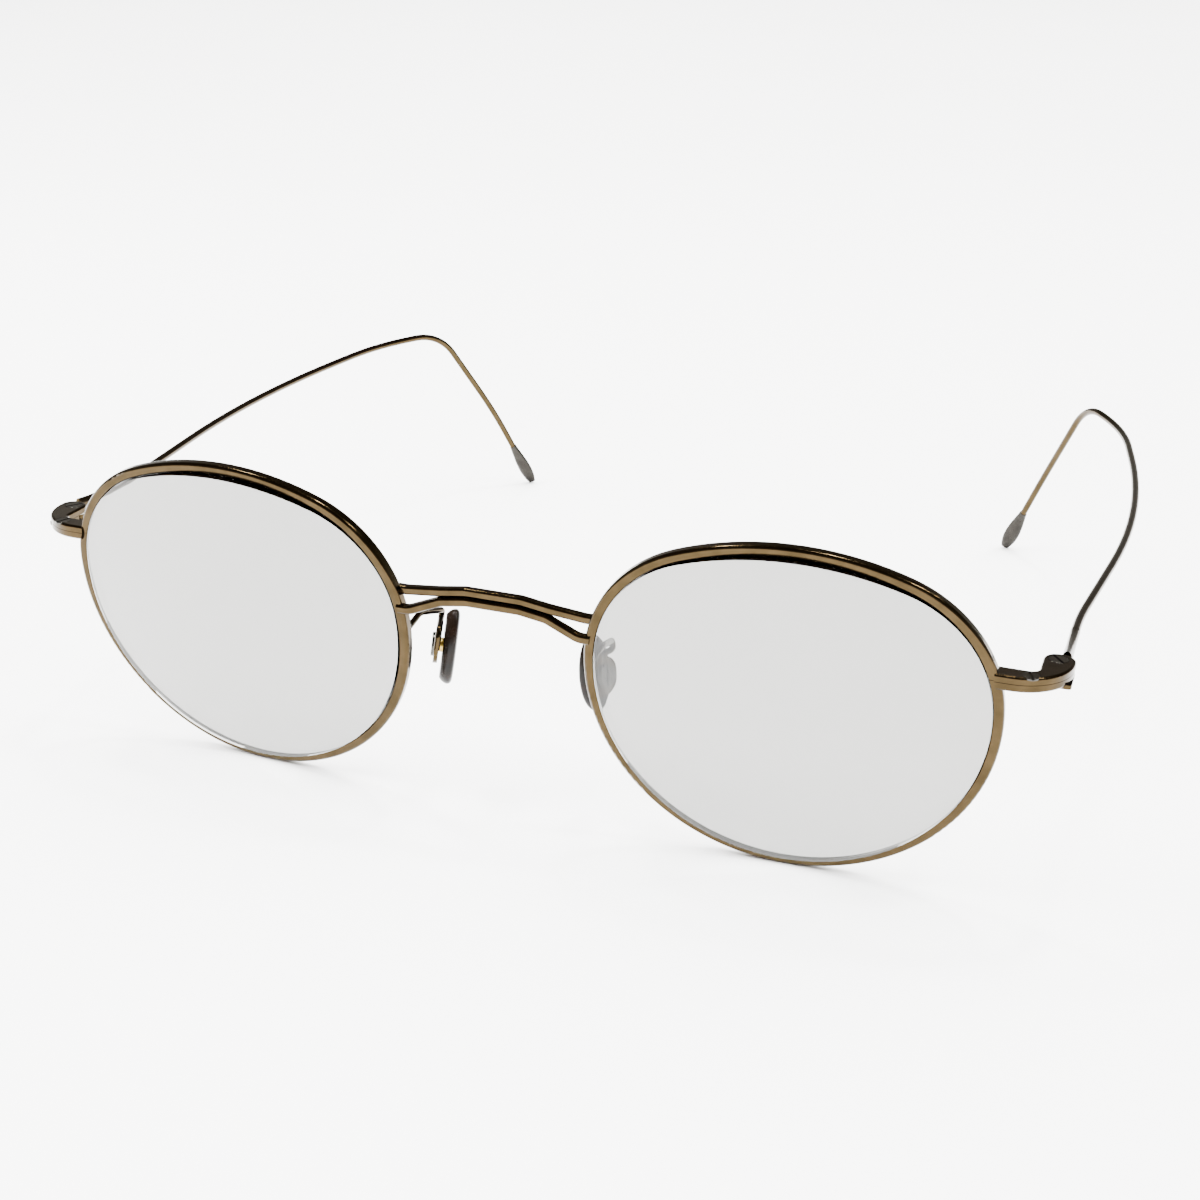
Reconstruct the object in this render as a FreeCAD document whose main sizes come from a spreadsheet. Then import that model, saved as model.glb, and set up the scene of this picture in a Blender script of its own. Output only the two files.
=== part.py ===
import FreeCAD, Part
import math
import os

import Sketcher
from FreeCAD import Placement, Rotation, Vector

# Wire-rimmed eyeglasses, standing open on a table.
#
# Row frame: +X to the wearer's left as seen from the front, +Y back along the temples, +Z up.
# The front (rims, lenses, bridge and pads) is drawn in its own upright frame and then leans by
# front_tilt about X. Endpieces, hinges and temples are drawn in a hinge frame, whose origin is
# on the hinge pin at the split between the two endpiece halves. side is +1 or -1.

SIZES = {
    # lenses and rims
    "lens_width": 46.92,
    "lens_height": 41.48,
    "lens_top_radius": 37.3,
    "lens_side_radius": 16.05,
    "lens_thickness": 1.6,
    "lens_curve_radius": 100.0,
    "lens_drop": 0.6,
    "lens_play": 0.05,
    "bridge_gap": 24.8,
    "rim_width": 1.25,
    "rim_depth": 1.55,
    "rim_corner": 0.45,
    "rim_back": 2.45,
    "groove_depth": 0.4,
    "groove_width": 0.8,
    "bevel_width": 0.6,
    "wrap_angle": 2.5,
    "front_tilt": 7.3,
    # bridge strands
    "strand_width": 1.15,
    "strand_corner": 0.35,
    "strand_bend": 3.0,
    "front_strand_top": 7.9,
    "front_strand_join": 7.35,
    "front_strand_end": 5.7,
    "rear_strand_top": 9.0,
    "rear_strand_join": 8.45,
    "rear_strand_end": 7.75,
    # endpieces and hinges
    "split_height": 8.2,
    "split_gap": 0.06,
    "plate_thickness": 0.9,
    "plate_round": 0.3,
    "block_height": 0.95,
    "block_round": 0.35,
    "block_half_width": 1.25,
    "outer_bend": 6.3,
    "inner_bend": 1.0,
    "hinge_height": 1.3,
    "hinge_inner": 1.6,
    "hinge_outer": 1.95,
    "lug_start": 3.0,
    "hinge_reach": 6.1,
    "hinge_setback": 5.6,
    "closing_reach": 3.85,
    "closing_setback": 0.25,
    "pin_radius": 0.6,
    "pin_head_radius": 1.12,
    "pin_head_height": 0.32,
    "closing_radius": 0.5,
    "closing_head_radius": 0.98,
    "closing_head_height": 0.28,
    "slot_width": 0.26,
    "slot_depth": 0.16,
    "screw_play": 0.03,
    "knuckle_height": 0.55,
    "knuckle_play": 0.03,
    "knuckle_bulge": 0.3,
    "washer_thickness": 0.08,
    "washer_radius": 1.6,
    # temples
    "wire_radius": 0.53,
    "wire_out": 0.75,
    "root_half_height": 1.1,
    "root_half_width": 0.62,
    "root_length": 8.5,
    "temple_length": 98.4,
    "temple_bow": 5.2,
    "temple_rise": 1.9,
    "bow_to_bend": 44.4,
    "ear_to_bend": 11.1,
    "ear_radius": 9.0,
    "bend_inset": 7.3,
    "drop_inset": 13.7,
    "drop_back": 9.5,
    "drop_depth": 16.6,
    "tip_inset": 19.3,
    "tip_back": 14.75,
    "tip_length": 8.5,
    "tip_half_width": 1.2,
    "tip_half_thickness": 0.62,
    # nose pads and their arms
    "arm_radius": 0.4,
    "arm_rise": 2.0,
    "eyelet_half_width": 1.98,
    "eyelet_half_length": 2.45,
    "eyelet_thickness": 0.55,
    "eyelet_hole_radius": 0.96,
    "pad_screw_in": 0.1,
    "pad_screw_back": 7.82,
    "pad_screw_drop": 3.4,
    "pad_splay": 22.9,
    "pad_lean": 11.0,
    "pad_turn": 9.5,
    "pad_half_width": 2.6,
    "pad_half_length": 5.05,
    "pad_thickness": 1.7,
    "pad_gap": 1.45,
    "pad_low": 0.1,
    "disc_radius": 1.55,
    "disc_height": 0.35,
    "disc_slot_width": 0.45,
    "boss_radius": 0.92,
    "boss_flange_radius": 1.5,
    "boss_bore_radius": 0.46,
}

SIDES = {"right": 1, "left": -1}
SPLIT_COVER = 40.0
LENS_STOCK = 8.0

doc = FreeCAD.newDocument("eyeglasses")
sheet = doc.addObject("Spreadsheet::Sheet", "Sizes")


# ---------------------------------------------------------------- sizes

def put_size(name, value):
    """Write one named value in the sheet, on its own row."""
    if name not in rows:
        rows[name] = len(rows) + 1
        sheet.set("A%d" % rows[name], name)
        sheet.set("B%d" % rows[name], repr(float(value)))
        sheet.setAlias("B%d" % rows[name], name)
    else:
        sheet.set("B%d" % rows[name], repr(float(value)))


def size(name):
    """Read one named value back from the sheet."""
    return float(sheet.get(name))


def lens_arcs():
    """The four arcs round a lens: top, side and bottom radii, with the heights of their centres."""
    half = size("lens_width") / 2
    top = size("lens_top_radius")
    side = size("lens_side_radius")
    top_level = size("lens_height") / 2 - size("lens_drop")
    low_level = top_level - size("lens_height")
    side_x = half - side
    top_centre = top_level - top
    side_centre = top_centre + math.sqrt((top - side) ** 2 - side_x ** 2)
    rise = side_centre - low_level
    bottom = (side_x ** 2 + rise ** 2 - side ** 2) / (2 * (rise - side))
    return side_x, (top, top_centre), (side, side_centre), (bottom, low_level + bottom)


def rim_grow():
    """Distance from the lens's bevel tip out to the middle line of the rim wire."""
    return size("rim_width") / 2 - size("groove_depth") + size("lens_play")


def rim_line_x(height):
    """How far out the rim's middle line is from the lens's own axis, at a height above it."""
    side_x, top, (radius, centre), bottom = lens_arcs()
    return side_x + math.sqrt((radius + rim_grow()) ** 2 - (height - centre) ** 2)


def derived_sizes():
    """Places that follow from the driving sizes, kept in the sheet beside them."""
    tilt = math.radians(size("front_tilt"))
    wrap = math.radians(size("wrap_angle"))
    put_size("lens_offset", (size("lens_width") + size("bridge_gap")) / 2)
    doc.recompute()
    reach = rim_line_x(size("split_height"))
    side_x = size("lens_offset") + reach * math.cos(wrap)
    side_y = size("rim_back") + reach * math.sin(wrap)
    side_back = side_y * math.cos(tilt) - size("split_height") * math.sin(tilt)
    put_size("nose_side", size("bridge_gap") / 2 - size("groove_depth") / 2)
    put_size("hinge_out", side_x + size("hinge_reach"))
    put_size("hinge_back", side_back + size("hinge_setback"))
    put_size("rim_row_back", size("rim_back") * math.cos(tilt))
    put_size("rim_row_up", size("rim_back") * math.sin(tilt))
    put_size("origin_back", 0.0)
    put_size("table_height", 0.0)
    doc.recompute()


# ---------------------------------------------------------------- paths and outlines

def corner_cuts(points, radii, closed):
    """How much of each run a corner's arc takes, kept within the runs on both sides."""
    count = len(points)
    cuts = [0.0] * count
    for i in range(count):
        if closed or 0 < i < count - 1:
            before = (points[i] - points[i - 1]).normalize()
            after = (points[(i + 1) % count] - points[i]).normalize()
            cuts[i] = radii[i] * math.tan(before.getAngle(after) / 2)
    for i in range(count if closed else count - 1):
        run = (points[(i + 1) % count] - points[i]).Length
        both = cuts[i] + cuts[(i + 1) % count]
        if both > run:
            cuts[i] *= 0.999 * run / both
            cuts[(i + 1) % count] *= 0.999 * run / both
    return cuts


def rounded_curves(points, radii, closed):
    """Straight runs between the points, joined by tangent arcs."""
    count = len(points)
    cuts = corner_cuts(points, radii, closed)
    curves = []
    last = points[0]
    if closed:
        last = points[0] + (points[1] - points[0]).normalize() * cuts[0]
    stops = list(range(1, count)) + ([0] if closed else [])
    for i in stops:
        point = points[i]
        before = (point - points[i - 1]).normalize()
        start = point - before * cuts[i]
        if (start - last).Length > 1e-4:
            curves.append(Part.LineSegment(last, start))
        last = point
        if cuts[i] > 1e-6:
            after = (points[(i + 1) % count] - point).normalize()
            last = point + after * cuts[i]
            turn = before.getAngle(after)
            inward = (after - before).normalize()
            radius = cuts[i] / math.tan(turn / 2)
            middle = point + inward * (radius / math.cos(turn / 2) - radius)
            curves.append(Part.Arc(start, middle, last))
    return curves


def wire_of(curves):
    return Part.Wire([curve.toShape() for curve in curves])


def swept(points, radii, section):
    """A solid made by moving a closed section along runs joined by tangent arcs."""
    path = wire_of(rounded_curves(points, radii, False))
    return path.makePipeShell([section], True, False)


def round_section(point, direction, radius):
    return Part.Wire([Part.Circle(point, direction, radius).toShape()])


def mirrored(side, x, y, z):
    return Vector(side * x, y, z)


# ---------------------------------------------------------------- bodies and sketches

def new_body(name):
    body = doc.addObject("PartDesign::Body", name)
    body.Label = name
    return body


def new_sketch(body, name, role="XY_Plane", height=None):
    """A sketch on one of the body's own planes, moved along its normal by a sheet value."""
    sketch = body.newObject("Sketcher::SketchObject", body.Name + "_" + name)
    plane = [part for part in body.Origin.OriginFeatures if part.Role == role][0]
    sketch.AttachmentSupport = [(plane, "")]
    sketch.MapMode = "FlatFace"
    if height is not None:
        sketch.setExpression(".AttachmentOffset.Base.z", height)
    return sketch


def draw_outline(sketch, curves):
    """Add a closed chain of curves to a sketch."""
    for curve in curves:
        sketch.addGeometry(curve, False)
    doc.recompute()


def draw_polygon(sketch, corners, radii=None):
    points = [Vector(x, y, 0) for x, y in corners]
    radii = radii or [0.0] * len(points)
    draw_outline(sketch, rounded_curves(points, radii, True))


def bind(sketch, constraint, expression):
    index = sketch.addConstraint(constraint)
    sketch.setExpression("Constraints[%d]" % index, expression)


def draw_circle(sketch, radius, x=None, y=None):
    """A circle whose radius and centre follow the sheet; x and y are (sign, expression)."""
    place = Vector(0, 0, 0)
    index = sketch.addGeometry(Part.Circle(place, Vector(0, 0, 1), 1.0), False)
    bind(sketch, Sketcher.Constraint("Radius", index, 1.0), radius)
    for kind, offset in (("DistanceX", x), ("DistanceY", y)):
        if offset is None:
            other = "PointOnObject"
            axis = -2 if kind == "DistanceX" else -1
            sketch.addConstraint(Sketcher.Constraint(other, index, 3, axis))
        elif offset[0] > 0:
            bind(sketch, Sketcher.Constraint(kind, -1, 1, index, 3, 1.0), offset[1])
        else:
            bind(sketch, Sketcher.Constraint(kind, index, 3, -1, 1, 1.0), offset[1])
    doc.recompute()


def draw_ellipse(sketch, half_x, half_y, x=0.0, y=0.0):
    centre = Vector(x, y, 0)
    if half_x >= half_y:
        ellipse = Part.Ellipse(centre + Vector(half_x, 0, 0), centre + Vector(0, half_y, 0), centre)
    else:
        ellipse = Part.Ellipse(centre + Vector(0, half_y, 0), centre - Vector(half_x, 0, 0), centre)
    sketch.addGeometry(ellipse, False)
    doc.recompute()


def pad(body, sketch, length, reverse=False, midplane=False):
    feature = body.newObject("PartDesign::Pad", sketch.Name + "_pad")
    feature.Profile = sketch
    feature.setExpression("Length", length)
    feature.Reversed = reverse
    feature.Midplane = midplane
    doc.recompute()
    return feature


def pocket(body, sketch, length, reverse=False):
    """Cut a sketch into the body, and make sure that something was cut."""
    before = body.Shape.Volume
    feature = body.newObject("PartDesign::Pocket", sketch.Name + "_pocket")
    feature.Profile = sketch
    feature.setExpression("Length", length)
    feature.Reversed = reverse
    doc.recompute()
    if body.Shape.Volume > before - 1e-6:
        raise ValueError(sketch.Name + " cut nothing")
    return feature


def turned(body, sketch, kind="PartDesign::Revolution", axis="V_Axis"):
    feature = body.newObject(kind, sketch.Name + "_turned")
    feature.Profile = sketch
    feature.ReferenceAxis = (sketch, [axis])
    feature.Angle = 360
    doc.recompute()
    return feature


def pipe(body, profile, path):
    feature = body.newObject("PartDesign::AdditivePipe", profile.Name + "_pipe")
    feature.Profile = profile
    feature.Spine = (path, [])
    doc.recompute()
    return feature


def loft(body, sketches):
    feature = body.newObject("PartDesign::AdditiveLoft", sketches[0].Name + "_loft")
    feature.Profile = sketches[0]
    feature.Sections = sketches[1:]
    doc.recompute()
    return feature


def round_edges(body, edges, radius):
    """Round the listed edges of the body's tip with a radius from the sheet."""
    tip = body.Tip
    feature = body.newObject("PartDesign::Fillet", tip.Name + "_round")
    feature.Base = (tip, edges)
    feature.setExpression("Radius", radius)
    doc.recompute()
    return feature


def edges_at(shape, height, keep):
    """Names of the edges that lie flat at a height and pass the keep test on their middle."""
    names = []
    for number, edge in enumerate(shape.Edges, 1):
        box = edge.BoundBox
        flat = box.ZLength < 1e-4 and abs(box.ZMin - height) < 1e-4
        if flat and keep(edge.CenterOfMass):
            names.append("Edge%d" % number)
    return names


# ---------------------------------------------------------------- placing

def place(part, x, y, z, rotation):
    """Turn a sub-part and tie its place to the sheet."""
    part.Placement = Placement(Vector(0, 0, 0), rotation)
    for letter, expression in (("x", x), ("y", y), ("z", z)):
        part.setExpression(".Placement.Base." + letter, expression)


def tilt_turn():
    return Rotation(Vector(1, 0, 0), size("front_tilt"))


def place_front(part):
    """Put a piece that is drawn in the front's frame on the table."""
    place(part, "0", "Sizes.origin_back", "Sizes.table_height", tilt_turn())


def place_lens(part, side):
    turn = tilt_turn() * Rotation(Vector(0, 0, 1), side * size("wrap_angle"))
    sign = "" if side > 0 else "-"
    place(part, sign + "Sizes.lens_offset", "Sizes.rim_row_back + Sizes.origin_back",
          "Sizes.rim_row_up + Sizes.table_height", turn)


def place_hinge(part, side):
    sign = "" if side > 0 else "-"
    place(part, sign + "Sizes.hinge_out", "Sizes.hinge_back + Sizes.origin_back",
          "Sizes.split_height + Sizes.table_height", Rotation())


def box_of(parts):
    """The tight box round some parts."""
    box = FreeCAD.BoundBox()
    for part in parts:
        box.add(part.Shape.optimalBoundingBox(False, False))
    return box


def trimmed(name, part, tools):
    """The part with the space of each tool cut away, so that the two meet face to face."""
    for number, tool in enumerate(tools, 1):
        cut = doc.addObject("Part::Cut", "%s_fit%d" % (name, number))
        cut.Base = part
        cut.Tool = tool
        doc.recompute()
        part = cut
    part.Label = name
    return part


# ---------------------------------------------------------------- rims and lenses

def lens_curves(grow):
    """The lens's outline, grown by a distance: flatter top, round sides and a round bottom.

    The chain starts at the middle of the top, where the rim's section is drawn.
    """
    side_x, (top, top_centre), (side, side_centre), (bottom, low_centre) = lens_arcs()
    up = Vector(0, 0, 1)
    lean = math.atan2(side_centre - top_centre, side_x)
    join = math.atan2(side_centre - low_centre, side_x)
    top_circle = Part.Circle(Vector(0, top_centre, 0), up, top + grow)
    low_circle = Part.Circle(Vector(0, low_centre, 0), up, bottom + grow)
    left = Part.Circle(Vector(-side_x, side_centre, 0), up, side + grow)
    right = Part.Circle(Vector(side_x, side_centre, 0), up, side + grow)
    return [Part.ArcOfCircle(top_circle, math.pi / 2, math.pi - lean),
            Part.ArcOfCircle(left, math.pi - lean, math.pi - join),
            Part.ArcOfCircle(low_circle, math.pi - join, 2 * math.pi + join),
            Part.ArcOfCircle(right, join, lean),
            Part.ArcOfCircle(top_circle, lean, math.pi / 2)]


def rim_section(sketch):
    """Rounded bar with a V groove on its inner side, centred on the rim's middle line."""
    level = size("lens_height") / 2 - size("lens_drop") + rim_grow()
    low = level - size("rim_width") / 2
    high = level + size("rim_width") / 2
    deep = size("rim_depth") / 2
    mouth = size("groove_width") / 2
    corner = size("rim_corner")
    corners = [(-deep, low), (-mouth, low), (0, low + size("groove_depth")), (mouth, low),
               (deep, low), (deep, high), (-deep, high)]
    draw_polygon(sketch, corners, [corner / 2, 0, 0, 0, corner / 2, corner, corner])


def rim(name, side):
    """One rim: a closed ring of grooved wire, cut through where the endpiece halves part."""
    body = new_body(name)
    path = new_sketch(body, "path", "XZ_Plane")
    draw_outline(path, lens_curves(rim_grow()))
    section = new_sketch(body, "section", "YZ_Plane")
    rim_section(section)
    pipe(body, section, path)
    tilt = math.tan(math.radians(size("front_tilt")))
    deep = size("rim_depth")
    back = size("rim_back") + rim_line_x(size("split_height")) * math.sin(math.radians(size("wrap_angle")))
    level = size("split_height") / math.cos(math.radians(size("front_tilt"))) - back * tilt
    half = size("split_gap") / 2
    slit = new_sketch(body, "slit", "YZ_Plane")
    draw_polygon(slit, [(-deep, level + deep * tilt - half), (deep, level - deep * tilt - half),
                        (deep, level - deep * tilt + half), (-deep, level + deep * tilt + half)])
    pocket(body, slit, "%.1f" % SPLIT_COVER, side > 0)
    place_lens(body, side)
    doc.recompute()
    return body


def rim_room(name, side):
    """The space a rim closes round, out to the middle line of its wire."""
    body = new_body(name)
    outline = new_sketch(body, "outline", "XZ_Plane")
    draw_outline(outline, lens_curves(rim_grow()))
    pad(body, outline, "%.1f" % LENS_STOCK, midplane=True)
    place_lens(body, side)
    return body


def place_ball(ball, side, centre):
    """Put a ball at a point of the lens's own frame, following the sheet like the lens does."""
    lean = tilt_turn()
    turn = lean * Rotation(Vector(0, 0, 1), side * size("wrap_angle"))
    spot = turn.multVec(centre)
    sign = "" if side > 0 else "-"
    place(ball, sign + "Sizes.lens_offset + %.6f" % spot.x,
          "Sizes.rim_row_back + Sizes.origin_back + %.6f" % spot.y,
          "Sizes.rim_row_up + Sizes.table_height + %.6f" % spot.z, Rotation())


def lens(name, side):
    """One lens: a bevelled disc with a spherical front and a parallel back."""
    body = new_body(name + "_blank")
    outline = new_sketch(body, "outline", "XZ_Plane")
    draw_outline(outline, lens_curves(-size("groove_depth")))
    pad(body, outline, "%.1f" % LENS_STOCK, midplane=True)
    tip = size("lens_height") / 2 - size("lens_drop")
    inner = tip - size("groove_depth")
    half = size("bevel_width") / 2
    path = new_sketch(body, "path", "XZ_Plane")
    draw_outline(path, lens_curves(0))
    bevel = new_sketch(body, "bevel", "YZ_Plane")
    corners = [(-half, inner - half), (half, inner - half), (half, inner), (0, tip), (-half, inner)]
    draw_polygon(bevel, corners)
    pipe(body, bevel, path)
    place_lens(body, side)
    curve = size("lens_curve_radius")
    sag = curve - math.sqrt(curve ** 2 - (size("lens_width") / 2) ** 2)
    centre = Vector(0, curve - sag - size("lens_thickness") / 2, 0)
    balls = []
    for word, expression in (("front", "Sizes.lens_curve_radius"),
                             ("back", "Sizes.lens_curve_radius - Sizes.lens_thickness")):
        ball = doc.addObject("Part::Sphere", name + "_" + word)
        ball.setExpression("Radius", expression)
        place_ball(ball, side, centre)
        balls.append(ball)
    front = doc.addObject("Part::Common", name + "_domed")
    front.Base = body
    front.Tool = balls[0]
    doc.recompute()
    return trimmed(name, front, [balls[1]])


# ---------------------------------------------------------------- bridge

def bridge_strand(name, word, back_middle, back_end, tools):
    """One wire of the bridge: level in the middle, sloping to its place on each rim."""
    top = size(word + "_strand_top")
    join = size(word + "_strand_join")
    end = size(word + "_strand_end")
    nose = size("lens_offset") - rim_line_x(end)
    half = [Vector(0.28 * nose, back_middle, top), Vector(0.55 * nose, back_middle, join),
            Vector(nose - 1.4, back_end, end), Vector(nose + 0.2, back_end, end)]
    other = [Vector(-point.x, point.y, point.z) for point in reversed(half)]
    points = other + half
    wide = size("strand_width") / 2
    start = points[0]
    corners = ((-wide, -wide), (wide, -wide), (wide, wide), (-wide, wide))
    square = [start + Vector(0, y, z) for y, z in corners]
    section = wire_of(rounded_curves(square, [size("strand_corner")] * 4, True))
    strand = doc.addObject("Part::Feature", name + "_wire")
    strand.Shape = swept(points, [size("strand_bend")] * len(points), section)
    place_front(strand)
    doc.recompute()
    return trimmed(name, strand, tools)


# ---------------------------------------------------------------- endpieces, screws and washers

def hinge_end(side, front, rounding):
    """Corners of the part of an endpiece round the pin, and the radii of its back corners."""
    outer = size("hinge_outer")
    inner = size("hinge_inner")
    corners = [(outer, front), (outer, inner), (-inner, inner), (-inner, front)]
    radii = [rounding, inner, inner, rounding]
    return [(side * x, y) for x, y in corners], radii


def endpiece_outline(sketch, side):
    """Plan of an endpiece: a bar from the rim that bends back and ends round the hinge pin."""
    start = side * (0.1 - size("hinge_reach"))
    closing = size("closing_setback") - size("hinge_setback")
    front = closing - size("block_half_width")
    back = closing + size("block_half_width")
    end, radii = hinge_end(side, front, size("outer_bend"))
    corners = [(start, front)] + end[:3] + [(end[3][0], back), (start, back)]
    draw_polygon(sketch, corners, [0] + radii[:3] + [size("inner_bend"), 0])


def closing_place(side):
    """Where the closing screw stands, as sketch offsets from the hinge pin."""
    out = (-side, "Sizes.hinge_reach - Sizes.closing_reach")
    back = (-1, "Sizes.hinge_setback - Sizes.closing_setback")
    return out, back


def endpiece_upper(name, side, tools):
    """Upper half of the closing block with the plate over the hinge."""
    body = new_body(name + "_blank")
    outline = new_sketch(body, "plan", "XY_Plane", "Sizes.split_gap / 2")
    endpiece_outline(outline, side)
    pad(body, outline, "Sizes.plate_thickness - Sizes.split_gap / 2")
    rim_end = side * (0.1 - size("hinge_reach"))
    top = size("plate_thickness")
    edges = edges_at(body.Shape, top, lambda middle: abs(middle.x - rim_end) > 1e-3)
    round_edges(body, edges, "Sizes.plate_round")
    x, y = closing_place(side)
    for word, radius, head, head_height, spot in (
            ("closing", "closing_radius", "closing_head_radius", "closing_head_height", (x, y)),
            ("pin", "pin_radius", "pin_head_radius", "pin_head_height", (None, None))):
        hole = new_sketch(body, word + "_hole", "XY_Plane", "Sizes.plate_thickness")
        draw_circle(hole, "Sizes.%s + Sizes.screw_play" % radius, *spot)
        pocket(body, hole, "2 * Sizes.plate_thickness")
        seat = new_sketch(body, word + "_seat", "XY_Plane", "Sizes.plate_thickness")
        draw_circle(seat, "Sizes.%s + Sizes.screw_play" % head, *spot)
        pocket(body, seat, "Sizes.%s" % head_height)
    place_hinge(body, side)
    return trimmed(name, body, tools)


def endpiece_lower(name, side, tools):
    """Lower half of the closing block with the lug under the temple's knuckle."""
    body = new_body(name + "_blank")
    outline = new_sketch(body, "plan", "XY_Plane", "-Sizes.split_gap / 2")
    endpiece_outline(outline, side)
    pad(body, outline, "Sizes.block_height - Sizes.split_gap / 2", reverse=True)
    rim_end = side * (0.1 - size("hinge_reach"))
    edges = edges_at(body.Shape, -size("block_height"), lambda middle: abs(middle.x - rim_end) > 1e-3)
    round_edges(body, edges, "Sizes.block_round")
    room = new_sketch(body, "knuckle_room", "XY_Plane")
    draw_circle(room, "Sizes.hinge_outer + 2 * Sizes.knuckle_play")
    pocket(body, room, "2 * Sizes.hinge_height")
    lug = new_sketch(body, "lug", "XY_Plane", "-Sizes.hinge_height")
    draw_polygon(lug, *hinge_end(side, -size("lug_start"), size("block_round")))
    pad(body, lug, "Sizes.hinge_height - Sizes.washer_thickness - Sizes.knuckle_height"
        " - 3 * Sizes.knuckle_play")
    low = edges_at(body.Shape, -size("hinge_height"), lambda middle: True)
    round_edges(body, low, "(Sizes.hinge_height - Sizes.block_height) / 2")
    x, y = closing_place(side)
    for word, radius, spot in (("closing", "closing_radius", (x, y)), ("pin", "pin_radius", (None, None))):
        hole = new_sketch(body, word + "_hole", "XY_Plane")
        draw_circle(hole, "Sizes.%s + Sizes.screw_play" % radius, *spot)
        pocket(body, hole, "2 * Sizes.hinge_height")
    place_hinge(body, side)
    return trimmed(name, body, tools)


def slotted_screw(name, head_radius, head_height, radius, tip_level, top_level, slot_width, slot_depth):
    """A screw turned about Z: a flat head with a slot and a plain shank."""
    body = new_body(name)
    profile = new_sketch(body, "profile", "XZ_Plane")
    under = top_level - head_height
    draw_polygon(profile, [(0, tip_level), (radius, tip_level), (radius, under), (head_radius, under),
                           (head_radius, top_level), (0, top_level)],
                 [0, radius / 3, 0, 0, head_height / 3, 0])
    turned(body, profile)
    slot = new_sketch(body, "slot", "XY_Plane", "%.4f" % top_level)
    half = slot_width / 2
    draw_polygon(slot, [(-half, -head_radius), (half, -head_radius),
                        (half, head_radius), (-half, head_radius)])
    pocket(body, slot, "%.4f" % slot_depth)
    return body


def closing_screw(name, side):
    """Screw that pulls the endpiece halves together."""
    body = slotted_screw(name, size("closing_head_radius"),
                         size("closing_head_height") - size("screw_play"),
                         size("closing_radius"), -size("block_height"), size("plate_thickness"),
                         size("slot_width"), size("slot_depth"))
    sign = "" if side > 0 else "-"
    place(body, sign + "(Sizes.hinge_out - Sizes.hinge_reach + Sizes.closing_reach)",
          "Sizes.hinge_back - Sizes.hinge_setback + Sizes.closing_setback + Sizes.origin_back",
          "Sizes.split_height + Sizes.table_height", Rotation(Vector(0, 0, 1), side * 20))
    return body


def hinge_screw(name, side):
    """Screw that the temple turns on."""
    body = slotted_screw(name, size("pin_head_radius"), size("pin_head_height") - size("screw_play"),
                         size("pin_radius"), -size("hinge_height"), size("plate_thickness"),
                         size("slot_width"), size("slot_depth"))
    place_hinge(body, side)
    body.Placement = Placement(body.Placement.Base, Rotation(Vector(0, 0, 1), side * 35))
    return body


def hinge_washer(name, side):
    """Low-friction ring between the upper plate and the knuckle."""
    body = new_body(name)
    ring = new_sketch(body, "ring", "XY_Plane")
    draw_circle(ring, "Sizes.washer_radius")
    pad(body, ring, "Sizes.washer_thickness", reverse=True)
    hole = new_sketch(body, "hole", "XY_Plane")
    draw_circle(hole, "Sizes.pin_radius + Sizes.screw_play")
    pocket(body, hole, "2 * Sizes.washer_thickness")
    place_hinge(body, side)
    return body


# ---------------------------------------------------------------- temples

def knuckle_top():
    return -size("washer_thickness") - size("knuckle_play")


def root_back():
    """How far behind the pin the temple's root clears the endpiece."""
    return size("hinge_outer") + 5 * size("knuckle_play")


def knuckle_and_root(name, side):
    """Knuckle that turns on the hinge screw, with the root that narrows into the wire."""
    body = new_body(name)
    level = "-Sizes.washer_thickness - Sizes.knuckle_play"
    knuckle = new_sketch(body, "knuckle", "XY_Plane", level)
    round_side = size("hinge_inner")
    bulge = round_side + size("knuckle_bulge")
    draw_polygon(knuckle, [(-side * round_side, -round_side), (side * bulge, -round_side),
                           (side * bulge, round_side), (-side * round_side, round_side)], [round_side] * 4)
    pad(body, knuckle, "Sizes.knuckle_height", reverse=True)
    neck = new_sketch(body, "neck", "XY_Plane", level)
    out = size("wire_out")
    wide = size("root_half_width")
    near = round_side / 2
    root = root_back()
    draw_polygon(neck, [(side * (out - wide), near), (side * (out + wide), near),
                        (side * (out + wide), root + wide), (side * (out - wide), root + wide)])
    pad(body, neck, "Sizes.knuckle_height", reverse=True)
    bore = new_sketch(body, "bore", "XY_Plane")
    draw_circle(bore, "Sizes.pin_radius + Sizes.knuckle_play")
    pocket(body, bore, "3 * Sizes.knuckle_height")
    wire = size("wire_radius")
    tall = size("root_half_height")
    end = root + size("root_length")
    centre = wire_level()
    sections = []
    for word, back, half_x, half_z in (("root", root, wide, tall),
                                       ("waist", root + size("root_length") / 3, (wide + 2 * wire) / 3,
                                        (tall + 1.2 * wire) / 2.2),
                                       ("end", end, wire + 0.04, wire + 0.04)):
        sketch = new_sketch(body, word, "XZ_Plane", "%.4f" % -back)
        draw_ellipse(sketch, half_x, half_z, side * out, centre)
        sections.append(sketch)
    loft(body, sections)
    place_hinge(body, side)
    return body


def wire_level():
    """Height of the wire's start below the split: the root is centred on the whole hinge."""
    return knuckle_top() / 2


def temple_points(side, floor):
    """Corner points of one temple's wire and its tip, from the hinge pin to the table."""
    length = size("temple_length")
    rise = size("temple_rise")
    root_end = root_back() + size("root_length")
    start = wire_level()
    out = size("wire_out")
    drop = start - size("drop_depth") + rise
    points = [
        (out, root_end - 0.4, start),
        (out, root_end + 4.0, start),
        (size("temple_bow"), length - size("bow_to_bend"), start + 0.3 * rise),
        (out - size("wire_out") - 0.5, length - size("ear_to_bend"), start + 0.85 * rise),
        (-size("bend_inset"), length, start + rise),
        (-size("drop_inset"), length + size("drop_back"), drop),
        (-size("tip_inset"), length + size("tip_back"), floor),
    ]
    return [mirrored(side, *point) for point in points]


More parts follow.
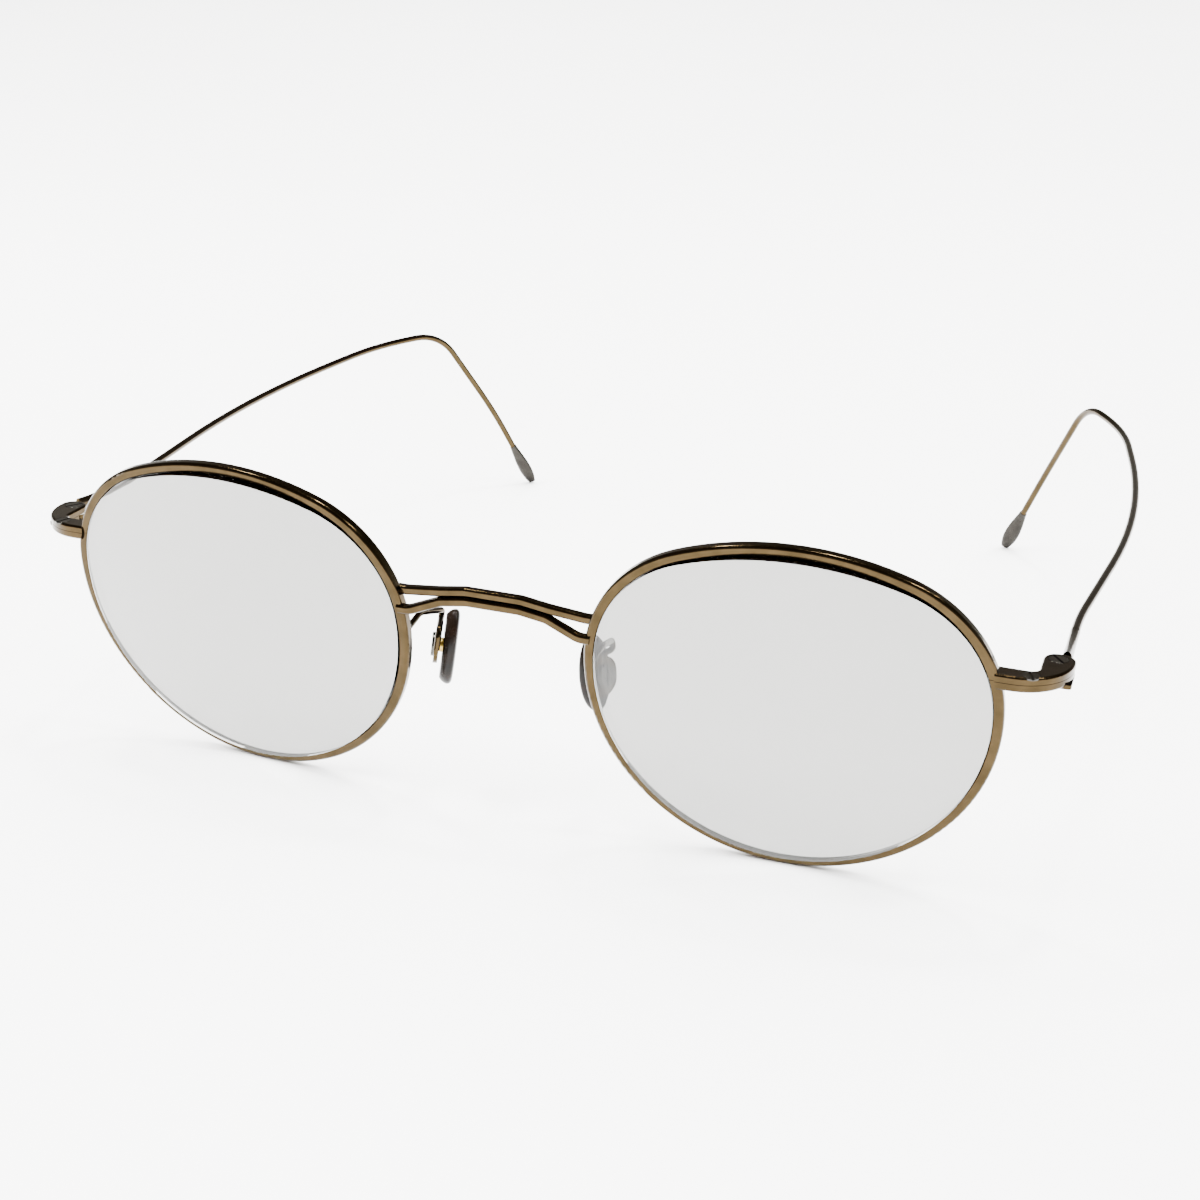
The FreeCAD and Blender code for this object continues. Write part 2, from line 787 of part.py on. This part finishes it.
def temple_radii():
    return [0, 60.0, 150.0, 38.0, size("ear_radius"), 60.0, 0]


def tip_start(points):
    """Where the wire ends and its flattened tip begins, and the direction there."""
    direction = (points[-1] - points[-2]).normalize()
    return points[-1] - direction * size("tip_length"), direction


def temple(name, side, floor):
    """One temple: knuckle, root and the sprung wire down to the tip."""
    root = knuckle_and_root(name + "_root", side)
    points = temple_points(side, floor)
    start, direction = tip_start(points)
    section = round_section(points[0], points[1] - points[0], size("wire_radius"))
    wire = doc.addObject("Part::Feature", name + "_wire")
    wire.Shape = swept(points[:-1] + [start], temple_radii(), section)
    place_hinge(wire, side)
    whole = doc.addObject("Part::Fuse", name)
    whole.Base = root
    whole.Tool = wire
    whole.Label = name
    doc.recompute()
    return whole


def temple_tip(name, side, floor):
    """Flattened end of a temple: the wire's round section spreads into a rounded blade."""
    body = new_body(name)
    length = size("tip_length")
    wire = size("wire_radius")
    wide = size("tip_half_width")
    thin = size("tip_half_thickness")
    sections = []
    for word, share, half_x, half_y in (("neck", 0.0, wire + 0.08, wire + 0.08),
                                        ("spread", 0.35, 0.9 * wide, (wire + thin) / 2),
                                        ("blade", 0.75, wide, thin),
                                        ("end", 1.0, 0.55 * wide, 0.6 * thin)):
        sketch = new_sketch(body, word, "XY_Plane", "%.4f" % (share * length))
        draw_ellipse(sketch, half_x, half_y)
        sections.append(sketch)
    loft(body, sections)
    start, direction = tip_start(temple_points(side, floor))
    across = Vector(0, 1, 0).cross(direction)
    turn = Rotation(across, direction.cross(across), direction, "ZYX")
    place(body, ("" if side > 0 else "-") + "Sizes.hinge_out + %.4f" % start.x,
          "Sizes.hinge_back + Sizes.origin_back + %.4f" % start.y,
          "Sizes.split_height + Sizes.table_height + %.4f" % start.z, turn)
    return body


# ---------------------------------------------------------------- nose pads

def pad_frame(side):
    """Centre of the pad screw's head, and the turn of the pad: X across, Y up, Z out."""
    splay = math.radians(size("pad_splay"))
    lean = math.radians(size("pad_lean"))
    outward = Vector(side * math.cos(lean) * math.cos(splay), -math.cos(lean) * math.sin(splay),
                     math.sin(lean))
    across = Vector(0, 0, 1).cross(outward).normalize()
    centre = mirrored(side, size("nose_side") - size("pad_screw_in"), size("pad_screw_back"),
                      -size("pad_screw_drop"))
    upright = Rotation(across, outward.cross(across), outward, "ZYX")
    return centre, upright * Rotation(Vector(0, 0, 1), -side * size("pad_turn"))


def place_pad(part, side):
    centre, turn = pad_frame(side)
    lean = tilt_turn()
    spot = lean.multVec(centre)
    place(part, "%.5f" % spot.x, "Sizes.origin_back + %.5f" % spot.y,
          "Sizes.table_height + %.5f" % spot.z, lean * turn)


def pad_arm(name, side, rim_body):
    """Goose-neck wire from the back of the rim to the eyelet that carries the pad."""
    plate = new_body(name + "_eyelet")
    outline = new_sketch(plate, "plan", "XY_Plane", "-Sizes.disc_height - Sizes.screw_play")
    wide = size("eyelet_half_width")
    long = size("eyelet_half_length")
    corners = [(-wide, -long), (wide, -long), (wide, long), (-wide, long)]
    draw_polygon(outline, corners, [wide] * 4)
    pad(plate, outline, "Sizes.eyelet_thickness", reverse=True)
    hole = new_sketch(plate, "hole", "XY_Plane")
    draw_circle(hole, "Sizes.eyelet_hole_radius")
    pocket(plate, hole, "4 * Sizes.eyelet_thickness")
    place_pad(plate, side)
    centre, turn = pad_frame(side)
    middle = -size("disc_height") - size("screw_play") - size("eyelet_thickness") / 2
    nose = size("nose_side")
    foot_back = size("rim_back") - math.sin(math.radians(size("wrap_angle"))) * size("lens_width") / 2
    foot = mirrored(side, nose, foot_back + size("rim_depth") / 3, size("arm_rise"))
    behind = mirrored(side, nose + 0.1, foot.y + 4.0, size("arm_rise") + 0.2)
    edge = size("eyelet_half_width") - size("arm_radius") / 3
    local = [(1.9, 4.0, -0.85), (2.1, 2.9, -0.85), (-edge, 2.6, -0.7), (-edge, 0.0, middle)]
    points = [foot, behind] + [centre + turn.multVec(Vector(side * x, y, z)) for x, y, z in local]
    wire = doc.addObject("Part::Feature", name + "_wire")
    section = round_section(foot, behind - foot, size("arm_radius"))
    wire.Shape = swept(points, [0, 3.0, 0.5, 0.5, 1.2, 0], section)
    place_front(wire)
    whole = doc.addObject("Part::Fuse", name + "_whole")
    whole.Base = plate
    whole.Tool = wire
    doc.recompute()
    return trimmed(name, whole, [rim_body])


def boss_levels():
    """Heights of the boss, measured along the pad screw from its head's face."""
    top = -size("disc_height") - 2 * size("screw_play")
    flange = -size("pad_gap") - 0.3
    return top, flange, flange - 0.4


def pad_screw(name, side):
    """Slotted disc that holds the pad to its arm."""
    top, flange, low = boss_levels()
    body = slotted_screw(name, size("disc_radius"), size("disc_height"),
                         size("boss_bore_radius") - size("screw_play"),
                         low + 0.05, 0.0, size("disc_slot_width"), size("slot_depth"))
    place_pad(body, side)
    return body


def pad_boss(name, side):
    """Flanged metal insert, moulded in the pad and free to turn in the arm's eyelet."""
    body = new_body(name)
    top, flange, low = boss_levels()
    bore = size("boss_bore_radius")
    radius = size("boss_radius")
    wide = size("boss_flange_radius")
    profile = new_sketch(body, "profile", "XZ_Plane")
    draw_polygon(profile, [(bore, low), (wide, low), (wide, flange), (radius, flange),
                           (radius, top), (bore, top)])
    turned(body, profile)
    place_pad(body, side)
    return body


def nose_pad(name, side):
    """Oval pad with rounded faces and a cavity that fits its boss."""
    body = new_body(name)
    back = -size("pad_gap")
    deep = size("pad_thickness")
    wide = size("pad_half_width")
    long = size("pad_half_length")
    sections = []
    for word, share, narrow in (("back", 0.0, 0.72), ("edge", 0.2, 0.3),
                                ("belly", 0.5, 0.0), ("face", 1.0, 1.0)):
        sketch = new_sketch(body, word, "XY_Plane", "%.4f" % (back - share * deep))
        draw_ellipse(sketch, wide - narrow, long - narrow, 0, -size("pad_low"))
        sections.append(sketch)
    loft(body, sections)
    top, flange, low = boss_levels()
    radius = size("boss_radius") + size("screw_play")
    flange_radius = size("boss_flange_radius") + size("screw_play")
    roof = flange + size("screw_play")
    floor = low - size("screw_play")
    cavity = new_sketch(body, "cavity", "XZ_Plane")
    draw_polygon(cavity, [(0, floor), (flange_radius, floor), (flange_radius, roof), (radius, roof),
                          (radius, back + 1.0), (0, back + 1.0)])
    turned(body, cavity, "PartDesign::Groove")
    place_pad(body, side)
    return body


# ---------------------------------------------------------------- assembly

def build():
    """Every sub-part of the eyeglasses, in the order in which they depend on each other."""
    parts = []
    rims = {word: rim(word + "_rim", side) for word, side in SIDES.items()}
    parts += rims.values()
    floor = box_of(rims.values()).ZMin - size("split_height") + size("tip_half_thickness") / 2
    rooms = {word: rim_room(word + "_rim_room", side) for word, side in SIDES.items()}
    both = [rooms["right"], rooms["left"], rims["right"], rims["left"]]
    front = bridge_strand("bridge_front_strand", "front", 1.35, 0.9, both)
    rear = bridge_strand("bridge_rear_strand", "rear", 1.75, 2.1, both + [front])
    parts += [front, rear]
    for word, side in SIDES.items():
        own = [rooms[word], rims[word]]
        parts.append(lens(word + "_lens", side))
        parts.append(endpiece_upper(word + "_endpiece_upper", side, own))
        parts.append(endpiece_lower(word + "_endpiece_lower", side, own))
        parts.append(closing_screw(word + "_closing_screw", side))
        parts.append(hinge_screw(word + "_hinge_screw", side))
        parts.append(hinge_washer(word + "_hinge_washer", side))
        parts.append(temple(word + "_temple", side, floor))
        parts.append(temple_tip(word + "_temple_tip", side, floor))
        parts.append(pad_arm(word + "_pad_arm", side, rims[word]))
        parts.append(pad_screw(word + "_pad_screw", side))
        parts.append(pad_boss(word + "_pad_boss", side))
        parts.append(nose_pad(word + "_nose_pad", side))
    return parts


def stand_on_table(parts):
    """Move the whole object so that its box is centred over the origin and stands on z = 0."""
    doc.recompute()
    box = box_of(parts)
    put_size("origin_back", -(box.YMin + box.YMax) / 2)
    put_size("table_height", -box.ZMin)
    doc.recompute()


def whole(shape):
    return not shape.isNull() and shape.isValid() and len(shape.Solids) == 1


def check(parts):
    """Stop if any object of the document failed or any sub-part isn't one valid solid."""
    for item in doc.Objects:
        if "Invalid" in item.State or "Error" in item.State:
            raise ValueError(item.Name + " " + str(item.State))
    bad = [part.Label for part in parts if not whole(part.Shape)]
    if bad:
        raise ValueError("not one valid solid: " + ", ".join(bad))


def report(parts):
    """Print the sizes that a record of this object needs."""
    box = box_of(parts)
    for part in parts:
        print("%-24s %9.3f mm3" % (part.Label, part.Shape.Volume))
    print("box", [round(v, 3) for v in (box.XMin, box.YMin, box.ZMin, box.XMax, box.YMax, box.ZMax)])
    for word, side in SIDES.items():
        pin = Vector(side * size("hinge_out"), size("hinge_back") + size("origin_back"),
                     size("split_height") + size("table_height"))
        centre, turn = pad_frame(side)
        lean = tilt_turn()
        spot = lean.multVec(centre) + Vector(0, size("origin_back"), size("table_height"))
        axis = (lean * turn).multVec(Vector(0, 0, 1))
        print(word, "hinge pin", [round(v, 4) for v in pin])
        print(word, "pad screw", [round(v, 4) for v in spot], [round(v, 5) for v in axis])


rows = {}
for word, value in SIZES.items():
    put_size(word, value)
doc.recompute()
derived_sizes()
sub_parts = build()
stand_on_table(sub_parts)
check(sub_parts)
os.makedirs("parts", exist_ok=True)
for sub_part in sub_parts:
    sub_part.Shape.exportStep("parts/%s.step" % sub_part.Label)
report(sub_parts)
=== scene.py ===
# %% [markdown]
# # Wire-rimmed eyeglasses
# These eyeglasses are made of thin plated wire, two clear lenses and two small black pads.
# The fixed frame holds every part at its real place, in metres, with +Y running back along
# the temples. This first cell loads that frame and keeps its outer box.

import bmesh
import bpy
from mathutils import Matrix, Vector


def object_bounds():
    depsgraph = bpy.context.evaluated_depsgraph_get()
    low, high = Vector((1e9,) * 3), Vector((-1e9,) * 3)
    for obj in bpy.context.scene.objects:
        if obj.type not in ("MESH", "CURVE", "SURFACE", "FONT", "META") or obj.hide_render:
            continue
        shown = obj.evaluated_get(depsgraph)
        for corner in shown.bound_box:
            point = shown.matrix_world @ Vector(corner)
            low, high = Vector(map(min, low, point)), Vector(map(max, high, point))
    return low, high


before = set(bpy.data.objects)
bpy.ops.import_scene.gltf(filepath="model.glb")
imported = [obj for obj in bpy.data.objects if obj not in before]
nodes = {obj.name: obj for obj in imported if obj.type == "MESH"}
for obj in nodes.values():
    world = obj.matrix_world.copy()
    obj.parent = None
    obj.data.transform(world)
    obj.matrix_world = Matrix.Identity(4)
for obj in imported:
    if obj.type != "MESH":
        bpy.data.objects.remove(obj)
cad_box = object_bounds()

MM = 0.001
box_mm = [tuple(round(v / MM, 2) for v in corner) for corner in cad_box]
print("frame:", len(nodes), "nodes, box", box_mm, "mm")

# %% [markdown]
# ## Camera
# The eyeglasses stand open on a table and are seen from a little above eye height for a desk,
# and from the right of the middle. A camera close to a small object gives strong perspective,
# so its place matters as much as its direction. The place is measured from the middle of the
# front edge of the frame's box, which stays put when the temples change.

# %% Make the camera
CAMERA_FROM_FRONT_MM = (76.79, -168.84, 111.03)
CAMERA_FORWARD = Vector((-0.31836, 0.86207, -0.39432))
CAMERA_RIGHT = Vector((0.93620, 0.35127, 0.01210))
LENS_MM = 51.58


def make_camera():
    """A camera with no depth of field and no shift, aimed by its own axes."""
    data = bpy.data.cameras.new("camera")
    data.lens = LENS_MM
    data.sensor_width = 36.0
    data.clip_start = 0.01
    data.clip_end = 10.0
    camera = bpy.data.objects.new("camera", data)
    bpy.context.scene.collection.objects.link(camera)
    back = -CAMERA_FORWARD.normalized()
    up = back.cross(CAMERA_RIGHT).normalized()
    across = up.cross(back)
    turn = Matrix((across, up, back)).transposed()
    front = Vector((0.0, cad_box[0].y, 0.0))
    camera.matrix_world = Matrix.Translation(front + Vector(CAMERA_FROM_FRONT_MM) * MM) @ turn.to_4x4()
    bpy.context.scene.camera = camera
    return camera


camera = make_camera()
print("camera at", tuple(round(v / MM, 1) for v in camera.location), "mm")

# %% [markdown]
# ## Colour and node helpers
# Colours are written as sRGB hex values, the way a paint chart gives them, and Blender's
# shaders want linear light, so one function turns the first into the second. One more
# function adds any shader node with its settings and its links, which keeps each material
# short enough to read from top to bottom.

# %% Helpers for colours and shader nodes
def colour(hex_value):
    """sRGB hex such as '#c0ffee' to linear RGBA."""
    parts = [int(hex_value[i:i + 2], 16) / 255 for i in (1, 3, 5)]
    linear = [p / 12.92 if p <= 0.04045 else ((p + 0.055) / 1.055) ** 2.4 for p in parts]
    return (*linear, 1.0)


def add_node(tree, kind, settings=None, **inputs):
    """Add a node, set its own settings, and fill or link its inputs by name."""
    node = tree.nodes.new(kind)
    for name, value in (settings or {}).items():
        setattr(node, name, value)
    for name, value in inputs.items():
        key = int(name[1:]) if name[0] == "_" else name.replace("_", " ")
        if isinstance(value, bpy.types.NodeSocket):
            tree.links.new(value, node.inputs[key])
        else:
            node.inputs[key].default_value = value
    return node


def new_material(name):
    material = bpy.data.materials.new(name)
    material.use_nodes = True
    material.node_tree.nodes.clear()
    return material, material.node_tree


def output(tree, shader):
    add_node(tree, "ShaderNodeOutputMaterial", Surface=shader)


def ramp(tree, factor, stops):
    """A colour ramp through (position, colour) stops."""
    node = add_node(tree, "ShaderNodeValToRGB", Fac=factor)
    elements = node.color_ramp.elements
    elements[0].position, elements[0].color = stops[0]
    elements[1].position, elements[1].color = stops[-1]
    for position, value in stops[1:-1]:
        elements.new(position).color = value
    return node.outputs["Color"]


# %% [markdown]
# ## Plated wire
# The rims, bridge, endpieces, temples and pad arms are nickel-silver wire, plated in a light
# bronze tone and tumbled until it shines. Plating follows every draw line of the wire, so the
# gloss is broken by a faint unevenness: thin spots a little darker, and slight waviness where
# the wire was bent. Roughness stays low and changes over a quarter of a millimetre, and a
# shallow bump in patches a few millimetres wide bends the highlights without dulling them.
# The base colours are darker than the plating would measure, because this room is very
# bright and polished metal takes its look from its room.

# %% Plated metal, steel and dark tips
BUMP_DEPTH_MM = 0.05


def metal(name, base, worn, roughness, grain_mm, wave_mm, bump):
    """Polished metal: two close tones in patches, with fine roughness changes and soft waves."""
    material, tree = new_material(name)
    place = add_node(tree, "ShaderNodeTexCoord").outputs["Object"]
    patches = add_node(tree, "ShaderNodeTexNoise", Vector=place, Scale=1 / (wave_mm * MM), Detail=3.0)
    grain = add_node(tree, "ShaderNodeTexNoise", Vector=place, Scale=1 / (grain_mm * MM), Detail=2.0)
    tone = ramp(tree, patches.outputs["Fac"], [(0.35, colour(base)), (0.7, colour(worn))])
    gloss = add_node(tree, "ShaderNodeMapRange", Value=grain.outputs["Fac"], To_Min=roughness * 0.75,
                     To_Max=roughness * 1.35)
    waves = add_node(tree, "ShaderNodeBump", Height=patches.outputs["Fac"], Strength=bump,
                     Distance=BUMP_DEPTH_MM * MM)
    shader = add_node(tree, "ShaderNodeBsdfPrincipled", Base_Color=tone, Metallic=1.0,
                      Roughness=gloss.outputs["Result"], Normal=waves.outputs["Normal"])
    output(tree, shader.outputs["BSDF"])
    return material


plated_wire = metal("light_bronze_plating", "#3c3120", "#312819", 0.15, 0.25, 2.5, 0.3)
turned_steel = metal("turned_steel", "#4b4a46", "#3e3d3a", 0.2, 0.15, 1.5, 0.2)
# The temple tips are given a darker grey metal colour than the wire.
dark_tip = metal("dark_grey_tip_metal", "#2f2d2a", "#242220", 0.28, 0.3, 2.0, 0.2)
plain_brass = metal("plain_brass", "#c8a858", "#b59344", 0.3, 0.3, 2.0, 0.2)
print("metals:", [m.name for m in (plated_wire, turned_steel, dark_tip, plain_brass)])

# %% [markdown]
# ## Lens material
# The lenses are clear plastic of about 1.5 IOR with a hard coat and an anti-reflection coat,
# which is why the specular level is low and dark parts stay dark behind them. They take some
# light away, so what is behind them looks slightly grey. Glass in a path tracer blocks light from
# lamps, which would give the thin lens a shadow as dark as a coin's, so rays from lamps meet
# a transparent stand-in of the same tint instead.

# %% Clear lens
COAT_PATCH_MM = 9.0


def clear_lens():
    material, tree = new_material("hard_coated_clear_plastic")
    place = add_node(tree, "ShaderNodeTexCoord").outputs["Object"]
    film = add_node(tree, "ShaderNodeTexNoise", Vector=place, Scale=1 / (COAT_PATCH_MM * MM), Detail=2.0)
    haze = add_node(tree, "ShaderNodeMapRange", Value=film.outputs["Fac"], To_Min=0.0, To_Max=0.03)
    body = add_node(tree, "ShaderNodeBsdfPrincipled", Base_Color=colour("#8e8e8c"),
                    Roughness=haze.outputs["Result"], IOR=1.5,
                    Specular_IOR_Level=0.08, Transmission_Weight=1.0)
    passing = add_node(tree, "ShaderNodeBsdfTransparent", Color=colour("#eeefef"))
    path = add_node(tree, "ShaderNodeLightPath")
    mixed = add_node(tree, "ShaderNodeMixShader", _0=path.outputs["Is Shadow Ray"],
                     _1=body.outputs["BSDF"], _2=passing.outputs["BSDF"])
    output(tree, mixed.outputs["Shader"])
    return material


lens_plastic = clear_lens()
print("lens:", lens_plastic.name)

# %% [markdown]
# ## Nose pad material
# The pads are moulded from soft black plastic, glossy where they were polished against the
# mould. The black is uneven where the plastic flowed, with patches of very dark brown.

# %% Black pads and nylon
FLOW_PATCH_MM = 3.0


def moulded_plastic(name, base, roughness):
    material, tree = new_material(name)
    place = add_node(tree, "ShaderNodeTexCoord").outputs["Object"]
    flow = add_node(tree, "ShaderNodeTexNoise", Vector=place, Scale=1 / (FLOW_PATCH_MM * MM), Detail=3.0)
    tone = ramp(tree, flow.outputs["Fac"], [(0.3, colour(base[0])), (0.75, colour(base[1]))])
    gloss = add_node(tree, "ShaderNodeMapRange", Value=flow.outputs["Fac"], To_Min=roughness * 0.8,
                     To_Max=roughness * 1.3)
    shader = add_node(tree, "ShaderNodeBsdfPrincipled", Base_Color=tone,
                      Roughness=gloss.outputs["Result"], IOR=1.35, Specular_IOR_Level=0.25)
    output(tree, shader.outputs["BSDF"])
    return material


pad_black = moulded_plastic("moulded_black_silicone", ("#060504", "#180e08"), 0.25)
nylon = moulded_plastic("plain_nylon", ("#d8d4c8", "#c9c4b4"), 0.4)

# %% [markdown]
# ## Dressing the CAD parts
# Each part keeps its CAD shape and takes the finish of the real one.

# %% Assign materials
FINISHES = {
    "rim": plated_wire, "endpiece_upper": plated_wire, "endpiece_lower": plated_wire,
    "temple": plated_wire, "pad_arm": plated_wire, "strand": plated_wire,
    "closing_screw": turned_steel, "hinge_screw": turned_steel, "pad_screw": turned_steel,
    "temple_tip": dark_tip, "lens": lens_plastic, "nose_pad": pad_black,
    "hinge_washer": nylon, "pad_boss": plain_brass,
}
for name, node in nodes.items():
    ending = max((word for word in FINISHES if name.endswith(word)), key=len)
    node.data.materials.clear()
    node.data.materials.append(FINISHES[ending])
    for polygon in node.data.polygons:
        polygon.material_index = 0
print("dressed", len(nodes), "CAD parts")

# %% [markdown]
# ## Table and light
# A plain white table keeps attention on the wire. Polished wire shows only what is around
# it, so the room is built for its reflections: pale walls give each wire its light bronze
# sides, and a dark ceiling draws the dark line along its top. Three small lamps make the
# bright glints. The large soft panels only light the table, so they're kept out of
# reflections, where they would fill that dark line.

# %% Floor and lights
TABLE_HALF_WIDTH_M = 3.0
ROOM_STRENGTH = 0.9


def make_floor():
    shape = bmesh.new()
    bmesh.ops.create_grid(shape, x_segments=8, y_segments=8, size=TABLE_HALF_WIDTH_M)
    mesh = bpy.data.meshes.new("table")
    shape.to_mesh(mesh)
    shape.free()
    table = bpy.data.objects.new("table", mesh)
    bpy.context.scene.collection.objects.link(table)
    material, tree = new_material("white_laminate")
    place = add_node(tree, "ShaderNodeTexCoord").outputs["Object"]
    cloud = add_node(tree, "ShaderNodeTexNoise", Vector=place, Scale=4.0)
    tone = ramp(tree, cloud.outputs["Fac"], [(0.3, colour("#f4f4f3")), (0.7, colour("#f6f6f6"))])
    shader = add_node(tree, "ShaderNodeBsdfPrincipled", Base_Color=tone, Roughness=0.7)
    output(tree, shader.outputs["BSDF"])
    mesh.materials.append(material)
    return table


def area_light(name, place_mm, aim_mm, size_mm, watts, in_reflections=True):
    data = bpy.data.lights.new(name, "AREA")
    data.shape = "RECTANGLE"
    data.size, data.size_y = (side * MM for side in size_mm)
    data.energy = watts
    lamp = bpy.data.objects.new(name, data)
    bpy.context.scene.collection.objects.link(lamp)
    lamp.visible_glossy = in_reflections
    place = Vector(place_mm) * MM
    aim = (Vector(aim_mm) * MM - place).normalized()
    lamp.matrix_world = Matrix.Translation(place) @ aim.to_track_quat("-Z", "Y").to_matrix().to_4x4()
    return lamp


def make_room():
    """Pale walls at the height of the table and a dark ceiling, for the wire to reflect."""
    world = bpy.data.worlds.new("room")
    bpy.context.scene.world = world
    world.use_nodes = True
    tree = world.node_tree
    direction = add_node(tree, "ShaderNodeTexCoord").outputs["Generated"]
    height = add_node(tree, "ShaderNodeSeparateXYZ", Vector=direction).outputs["Z"]
    walls = ramp(tree, height, [(0.0, colour("#f4f3f0")), (0.22, colour("#dedad2")),
                                (0.5, colour("#8d826f")), (1.0, colour("#5e5647"))])
    background = tree.nodes["Background"]
    tree.links.new(walls, background.inputs["Color"])
    background.inputs["Strength"].default_value = ROOM_STRENGTH


make_floor()
make_room()
area_light("soft_panel", (0, 700, 1800), (0, 700, 0), (4000, 4000), 620.0, in_reflections=False)
area_light("soft_left", (-560, -260, 430), (0, 0, 10), (260, 420), 9.0, in_reflections=False)
area_light("lamp_middle", (40, 120, 640), (0, -55, 30), (60, 60), 2.6)
area_light("lamp_left", (-260, 60, 560), (0, -55, 30), (50, 50), 1.8)
area_light("lamp_right", (300, -20, 520), (0, -55, 30), (50, 50), 1.8)
